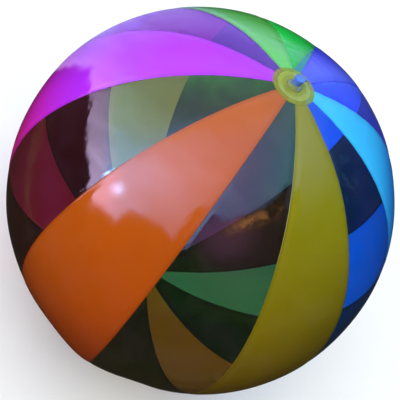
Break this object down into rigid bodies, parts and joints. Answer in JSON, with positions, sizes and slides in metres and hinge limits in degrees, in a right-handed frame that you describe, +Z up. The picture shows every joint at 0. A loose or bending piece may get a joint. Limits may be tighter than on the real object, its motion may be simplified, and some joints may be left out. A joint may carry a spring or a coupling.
{
  "type": "inflatable beach ball",
  "caption": "Inflated beach ball of alternating solid-coloured and clear tinted vinyl gores, with round end patches and a push-in inflation valve.",
  "frame": {"origin": "the ball's lowest point, under its centre, where the far end patch rests on the ground", "axes": "+Z up the ball's own axis and out through the valve, +X through the seam between the clear and the solid light blue gore, the solid one lying anticlockwise of it seen from the valve"},
  "size_m": [0.5, 0.5, 0.4923],
  "materials": {
    "film_clear_light_blue": "glossy see-through vinyl film, light blue tint",
    "film_light_blue": "glossy vinyl film, nearly opaque, light blue",
    "film_clear_blue": "glossy see-through vinyl film, violet blue tint",
    "film_blue": "glossy vinyl film, nearly opaque, violet blue",
    "film_clear_green": "glossy see-through vinyl film, green tint",
    "film_green": "glossy vinyl film, nearly opaque, green",
    "film_clear_magenta": "glossy see-through vinyl film, pinkish purple tint",
    "film_magenta": "glossy vinyl film, nearly opaque, pinkish purple",
    "film_clear_orange": "glossy see-through vinyl film, orange tint",
    "film_orange": "glossy vinyl film, nearly opaque, orange",
    "film_clear_yellow": "glossy see-through vinyl film, olive yellow tint",
    "film_yellow": "glossy vinyl film, nearly opaque, olive yellow",
    "disc_vinyl": "glossy yellow-green translucent vinyl",
    "valve_vinyl": "soft bluish translucent vinyl, satin gloss"
  },
  "bodies": {
    "shell": {"gore_clear_light_blue": "film_clear_light_blue", "gore_light_blue": "film_light_blue", "gore_clear_blue": "film_clear_blue", "gore_blue": "film_blue", "gore_clear_green": "film_clear_green", "gore_green": "film_green", "gore_clear_magenta": "film_clear_magenta", "gore_magenta": "film_magenta", "gore_clear_orange": "film_clear_orange", "gore_orange": "film_orange", "gore_clear_yellow": "film_clear_yellow", "gore_yellow": "film_yellow", "valve_end_disc": "disc_vinyl", "far_end_disc": "disc_vinyl", "valve_flange": "disc_vinyl", "valve_web": "disc_vinyl"},
    "stem": {"valve_stem": "valve_vinyl", "plug_strap": "valve_vinyl"},
    "plug": {"plug": "valve_vinyl"},
    "flap": {"check_flap": "valve_vinyl"}
  },
  "joints": [
    {"name": "valve_push_in", "type": "slide", "parent": "shell", "child": "stem", "axis": [0, 0, 1], "range_m": [-0.009, 0], "deforming": ["valve_web"]},
    {"name": "plug_swing", "type": "hinge", "parent": "stem", "child": "plug", "pos_m": [0.00628, 0.00527, 0.49072], "axis": [-0.6428, 0.766, 0], "range_deg": [0, 160], "deforming": ["plug_strap"]},
    {"name": "check_flap_swing", "type": "hinge", "parent": "stem", "child": "flap", "pos_m": [-0.00406, -0.00341, 0.47597], "axis": [-0.6428, 0.766, 0], "range_deg": [0, 60]}
  ]
}
